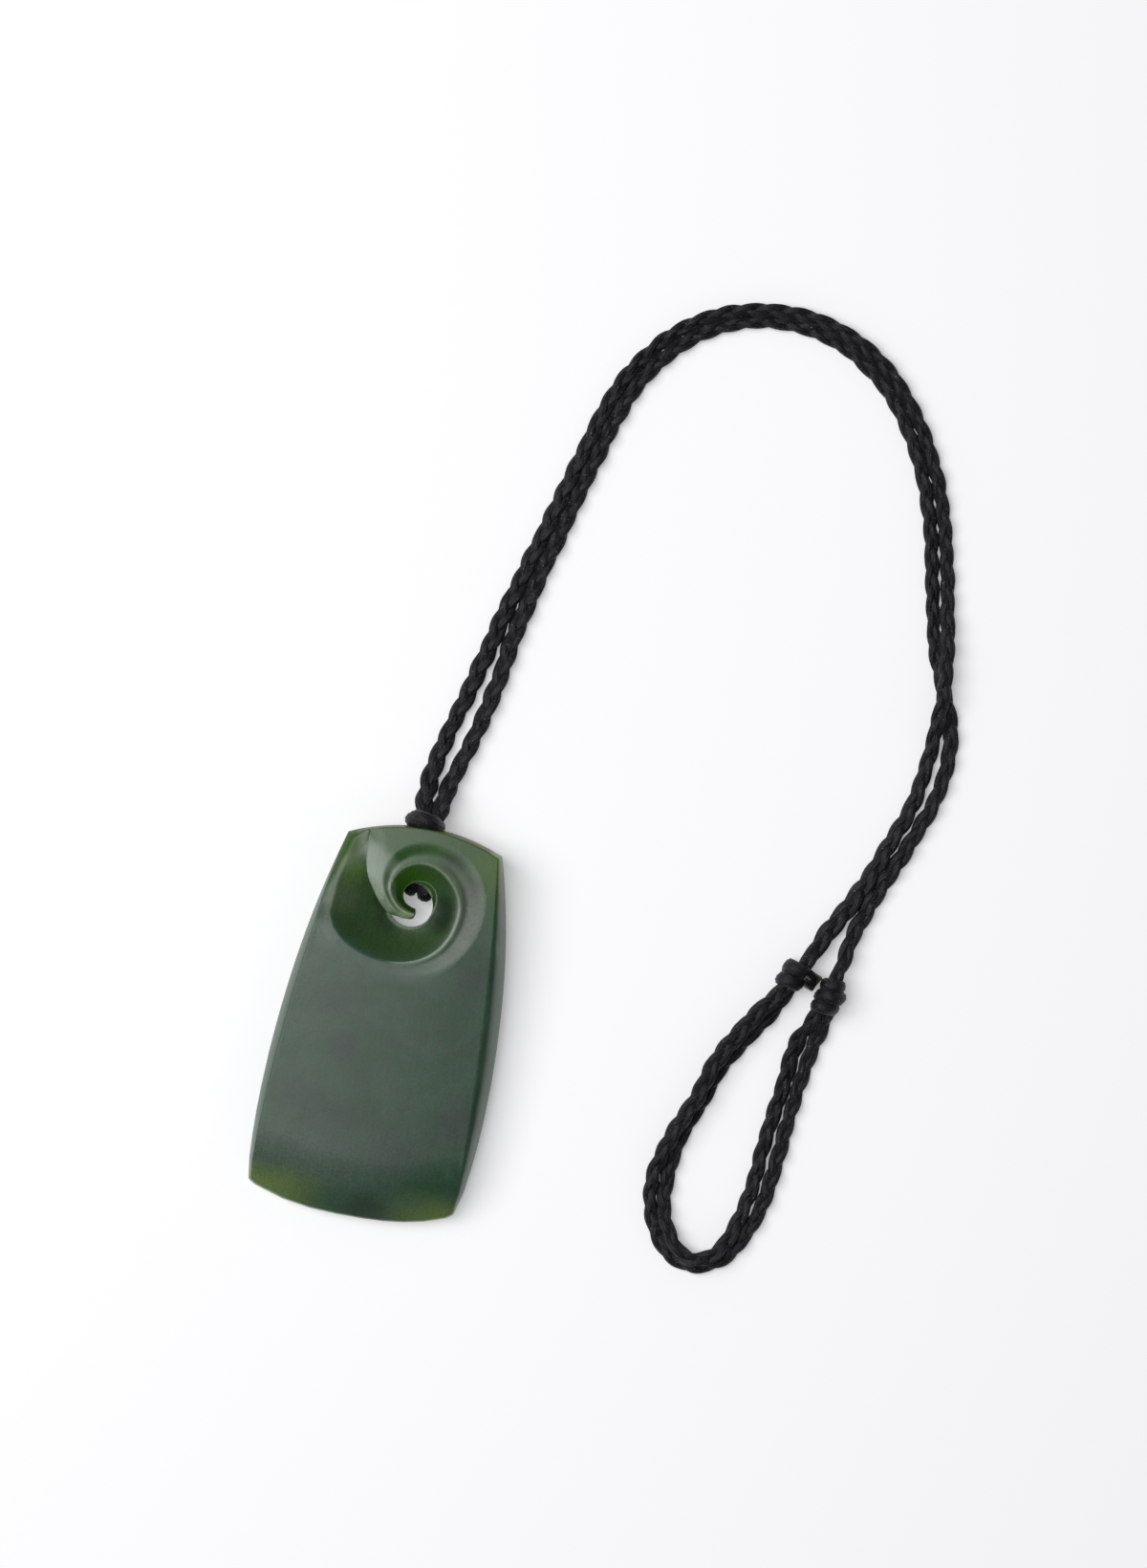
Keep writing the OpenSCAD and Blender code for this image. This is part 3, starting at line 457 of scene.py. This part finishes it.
carved = adze.data.attributes.new("carved_mm", "FLOAT", "POINT")
butt_end = adze.data.attributes.new("butt_end", "FLOAT", "POINT")
for v, depth, end in zip(adze.data.vertices, carved.data, butt_end.data):
    x, y, z = v.co / MM
    reach = hypot(x + 1.2, (y - 18.6))
    inside = min(1.0, max(0.0, (14.6 - reach) / 1.2)) * min(1.0, max(0.0, (x + 14.4 - 0.03 * y) / 0.6))
    depth.value = inside * max(0.0, level_face(x, y) - z)
    end.value = float(y > 27 and v.normal.y > 0.45 and abs(v.normal.x) < 0.5)

# Painted highlights on raised edges: how far the faces turn away from each other at each point
edge_highlight_attr = adze.data.attributes.new("edge_highlight", "FLOAT", "POINT")
edge_light_amounts = [0.0] * len(adze.data.vertices)
middle_of = {}
for face in adze.data.polygons:
    for key in face.edge_keys:
        middle_of.setdefault(key, []).append((face.center, face.normal))
for (a, b), ((middle, normal), (other_middle, other_normal)) in middle_of.items():
    raised = normal.dot(other_middle - middle) < 0
    start = adze.data.vertices[a].co / MM
    in_carving = hypot(start.x - 0.3, start.y - 19.3) < 10.5 and start.z > 5.5
    turned = normal.angle(other_normal) if raised else 0.0
    amount = min(1.0, max(0.0, (turned - radians(15 if in_carving else 46)) / radians(15)))
    for v in (a, b):
        edge_light_amounts[v] = max(edge_light_amounts[v], amount)
for value, amount in zip(edge_highlight_attr.data, edge_light_amounts):
    value.value = amount

# Nephrite: a deep, almost transparent green with grey and brownish clouds. The satin of fine
# sanding lays a grey veil on it wherever the face is level. Thin edges glow a painted leaf green, and
# painted sheen, highlights and shade follow below.
nephrite = bpy.data.materials.new("nephrite_hand_sanded")
nephrite.use_nodes = True
tree = nephrite.node_tree
jade = tree.nodes["Principled BSDF"]
jade.inputs["IOR"].default_value = 1.62
place = add(tree, "TexCoord")
in_mm = add(tree, "VectorMath", {0: place.outputs["Object"], "Scale": 1 / MM}, operation="SCALE")
at = in_mm.outputs["Vector"]
axes = add(tree, "SeparateXYZ", {"Vector": at})
x_mm, y_mm = axes.outputs["X"], axes.outputs["Y"]


def mixed(amount, under, over):
    """One colour laid over another by an amount."""
    under, over = (linear(c) if isinstance(c, str) else c for c in (under, over))
    return add(tree, "Mix", {0: amount, 6: under, 7: over}, data_type="RGBA").outputs[2]


def between(value, low, high):
    """0 below low, 1 above high, with a soft step from one to the other."""
    node = add(tree, "MapRange", {"Value": value, "From Min": low, "From Max": high},
               interpolation_type="SMOOTHSTEP")
    return node.outputs["Result"]


def combined(kind, a, b):
    """Two values put together as the name of the sum says."""
    return add(tree, "Math", {0: a, 1: b}, operation=kind).outputs[0]


def times(a, b):
    return combined("MULTIPLY", a, b)


def cloud(scale, detail=3.0, rough=0.5, bent=0.0, stretch=(1, 1, 1)):
    """Noise whose size is given as clouds per millimetre along each axis."""
    squeezed = add(tree, "VectorMath", {0: at, 1: stretch}, operation="MULTIPLY")
    node = add(tree, "TexNoise", {"Vector": squeezed.outputs["Vector"], "Scale": scale,
                                  "Detail": detail, "Roughness": rough, "Distortion": bent})
    return node.outputs["Fac"]


# Clouds of about 8 mm in the body, with greyer ones of about 2 mm in them
soft_cloud = cloud(0.13, 4, 0.55, 0.4)
fine_cloud = cloud(0.45, 4, 0.6, 0.3)
colour = mixed(between(soft_cloud, 0.38, 0.62), "2e5138", "395945")
colour = mixed(times(between(fine_cloud, 0.5, 0.72), 0.6), colour, "404b40")
# Brownish grey stains: across, along, radius in mm and strength
STAINS = [(-6.1, -4.6, 3.6, 0.75), (-12.5, -13.0, 5.0, 0.45), (-6.5, -16.5, 6.5, 0.4),
          (11.0, 9.5, 4.0, 0.45), (13.0, -13.0, 6.0, 0.5), (4.5, -20.0, 7.0, 0.35),
          (-9.0, 2.0, 6.0, 0.3)]
for sx, sy, radius, strength in STAINS:
    gap = add(tree, "VectorMath", {0: at, 1: (sx, sy, 7.5)}, operation="DISTANCE").outputs["Value"]
    unevenness = times(combined("SUBTRACT", fine_cloud, 0.5), radius * 1.6)
    ragged = combined("ADD", gap, unevenness)
    near = times(between(ragged, radius, radius * 0.1), strength)
    colour = mixed(near, colour, "3b3c42")
# Greener butt; a painted glow of olive at the corner, and of leaf green where the slab is thin, for the
# light that comes through thin stone
wander = times(combined("SUBTRACT", soft_cloud, 0.5), 14.0)
butt = between(combined("ADD", y_mm, wander), 14.0, 26.0)
colour = mixed(times(butt, 0.85), colour, "305d1d")
corner = add(tree, "VectorMath", {0: at, 1: (12.2, 28.2, 7.5)}, operation="DISTANCE").outputs["Value"]
colour = mixed(times(between(corner, 7.0, 1.0), 0.85), colour, "4a6e1d")
# Painted sheen: the blade is painted a paler grey, more to the left, where its face catches the light;
# painted glow: leaf green at its corners, where the thin stone lets light through
blade = times(between(y_mm, -14.0, -22.0), between(y_mm, -30.0, -25.0))
lit_from_left = times(between(x_mm, 10.0, -10.0), 0.8)
colour = mixed(times(blade, lit_from_left), colour, "52655a")
# Painted glow: leaf green at the blade's thin corners
thin = between(combined("ADD", y_mm, times(wander, 0.3)), -23.5, -28.5)
corners = add(tree, "Math", {0: x_mm}, operation="ABSOLUTE").outputs[0]
colour = mixed(times(thin, between(corners, 2.0, 14.0)), colour, "687f44")
dark_edge = add(tree, "VectorMath", {0: at, 1: (1.5, -28.5, 3.0)}, operation="DISTANCE").outputs["Value"]
colour = mixed(times(between(dark_edge, 5.0, 1.5), 0.6), colour, "2c3a28")
# Freshly opened stone in the bowl and the dish
depth_of = add(tree, "Attribute", attribute_name="carved_mm").outputs["Fac"]
colour = mixed(between(depth_of, 0.12, 1.3), colour, "395531")


def spot(x, y, z, reach):
    """1 at a place on the stone, softly down to 0 at a reach given in mm."""
    gap = add(tree, "VectorMath", {0: at, 1: (x, y, z)}, operation="DISTANCE").outputs["Value"]
    return between(gap, reach, reach * 0.3)


def tinted(colour, height, strength, places):
    """The colour with a tint at each place: across, along, reach in mm, tint."""
    for x, y, reach, tint in places:
        colour = mixed(times(spot(x, y, height, reach), strength), colour, tint)
    return colour


# Painted light and shade in the carving: a vivid green glow round the top of the eye, where thin stone
# lets light through; painted shade, nearly black, under the frond and right of the eye; a painted grey
# sheen and a green glow in the dish at the left
colour = tinted(colour, 6.5, between(depth_of, 0.3, 1.0), (
    (-2.0, 21.5, 6.5, "33600f"), (-3.4, 16.2, 3.6, "162c13"), (4.6, 18.6, 4.4, "14300f"),
    (-4.6, 18.4, 2.8, "102009"), (-11.2, 18.5, 4.0, "4d6344"), (-10.8, 22.5, 3.6, "4a6a36")))
# Painted shade: the flute outside the ridge is painted dark green, where it turns away from the light
colour = tinted(colour, 7.8, 0.85, (
    (5.0, 26.3, 3.2, "1f3a19"), (8.0, 23.4, 3.2, "17300f"), (8.8, 20.2, 3.2, "142c0d"),
    (8.9, 17.0, 3.0, "1a3514"), (7.0, 13.6, 2.6, "264523")))
# Painted sheen: the frond is painted pale grey-green where its face catches the light from the left
colour = tinted(colour, 7.6, between(depth_of, 1.7, 1.0), (
    (-7.9, 25.4, 3.0, "7d917d"), (-7.2, 22.8, 3.0, "889d88"), (-5.6, 20.3, 3.0, "8a9f86"),
    (-5.5, 24.3, 2.8, "7c9279"), (-3.4, 18.7, 2.4, "81987a"), (-1.2, 17.8, 2.2, "93b086")))
# Painted highlights: raised edges are painted paler than the faces beside them
edge_highlight_of = add(tree, "Attribute", attribute_name="edge_highlight").outputs["Fac"]
colour = mixed(times(between(edge_highlight_of, 0.45, 1.0), 0.85), colour, "8da085")
# The butt's narrow end is left dull from the saw, olive like the corner
dull_end = add(tree, "Attribute", attribute_name="butt_end").outputs["Fac"]
dull = times(between(dull_end, 0.2, 0.9), between(y_mm, 25.0, 26.5))
colour = mixed(times(dull, 0.8), colour, "66733f")
green_corner = spot(-12.1, 26.3, 7.2, 3.2)
colour = mixed(times(green_corner, 0.7), colour, "3f6415")
# The satin is weaker on that end and corner, and is turned down in the hollows as painted shade
hollow_shade = times(between(depth_of, 0.8, 2.0), 0.45)
dull_and_shaded = combined("MAXIMUM", combined("MAXIMUM", dull, hollow_shade), times(green_corner, 0.6))
sheen_left = add(tree, "MapRange", {"Value": dull_and_shaded, "To Min": 0.54, "To Max": 0.05})
tree.links.new(sheen_left.outputs["Result"], jade.inputs["Specular IOR Level"])
# Sanding: grains of about 0.3 mm all over, and faint lines that run along the stone
grain = cloud(3.2, 3, 0.6)
lines = cloud(1.0, 2, 0.5, 0.0, (4.0, 0.35, 1.0))


def spread(value, low, high):
    """The usual span of a noise drawn out to run from low to high."""
    return add(tree, "MapRange", {"Value": value, "From Min": 0.3, "From Max": 0.7, "To Min": low,
                                  "To Max": high}).outputs["Result"]


tone = times(spread(grain, 0.8, 1.22), spread(lines, 0.92, 1.08))
toned = add(tree, "VectorMath", {0: colour, "Scale": tone}, operation="SCALE").outputs["Vector"]
tree.links.new(toned, jade.inputs["Base Color"])
tree.links.new(spread(grain, 0.33, 0.44), jade.inputs["Roughness"])
worn_edges = add(tree, "Bevel", {"Radius": 0.28 * MM}, samples=6)
tooth = add(tree, "Bump", {"Height": grain, "Strength": 0.12, "Distance": 0.1 * MM,
                           "Normal": worn_edges.outputs["Normal"]})
tree.links.new(tooth.outputs["Normal"], jade.inputs["Normal"])

adze.data.materials.clear()
adze.data.materials.append(nephrite)
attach(adze, "root")
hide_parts("stone")


# Table: a large sheet of matt white card that the pendant lies on, under one large soft light from
# the upper left and the room's own faint light.
bpy.ops.object.select_all(action="DESELECT")
bpy.ops.mesh.primitive_plane_add(size=3.0, location=(0.02, 0.04, 0.0))
table_card = bpy.context.object
table_card.name = "table_card"
card = bpy.data.materials.new("white_card")
card.use_nodes = True
card_surface = card.node_tree.nodes["Principled BSDF"]
card_surface.inputs["Base Color"].default_value = linear("fafafb")
card_surface.inputs["Roughness"].default_value = 0.8
card_surface.inputs["Emission Color"].default_value = linear("fbfbfd")
# Painted contact shadow: the card glows a little, standing in for the room's light, and glows less close
# under the stone
near_stone = add(card.node_tree, "AmbientOcclusion", {"Distance": 9 * MM}, samples=12)
painted_room_light = add(card.node_tree, "MapRange", {"Value": near_stone.outputs["AO"], "To Min": 0.28,
                                              "To Max": 0.42})
card.node_tree.links.new(painted_room_light.outputs["Result"], card_surface.inputs["Emission Strength"])
table_card.data.materials.append(card)

# Softbox: a lamp behind a white sheet of 54 by 88 cm, turned towards the pendant
softbox_lamp = bpy.data.lights.new("softbox_left", "AREA")
softbox_lamp.shape = "RECTANGLE"
softbox_lamp.size, softbox_lamp.size_y = 0.54, 0.88
softbox_lamp.energy = 5.6
softbox = bpy.data.objects.new("softbox_left", softbox_lamp)
softbox.location = (-0.4, 0.08, 0.76)
towards_lamp = Vector(softbox.location) - Vector((0.02, 0.03, 0.0))
softbox.rotation_euler = towards_lamp.to_track_quat("Z", "Y").to_euler()
bpy.context.scene.collection.objects.link(softbox)

world = bpy.data.worlds.new("studio")
world.use_nodes = True
world.node_tree.nodes["Background"].inputs["Color"].default_value = linear("dcdee2")
world.node_tree.nodes["Background"].inputs["Strength"].default_value = 0.08
bpy.context.scene.world = world
bpy.context.scene.view_settings.view_transform = "Standard"
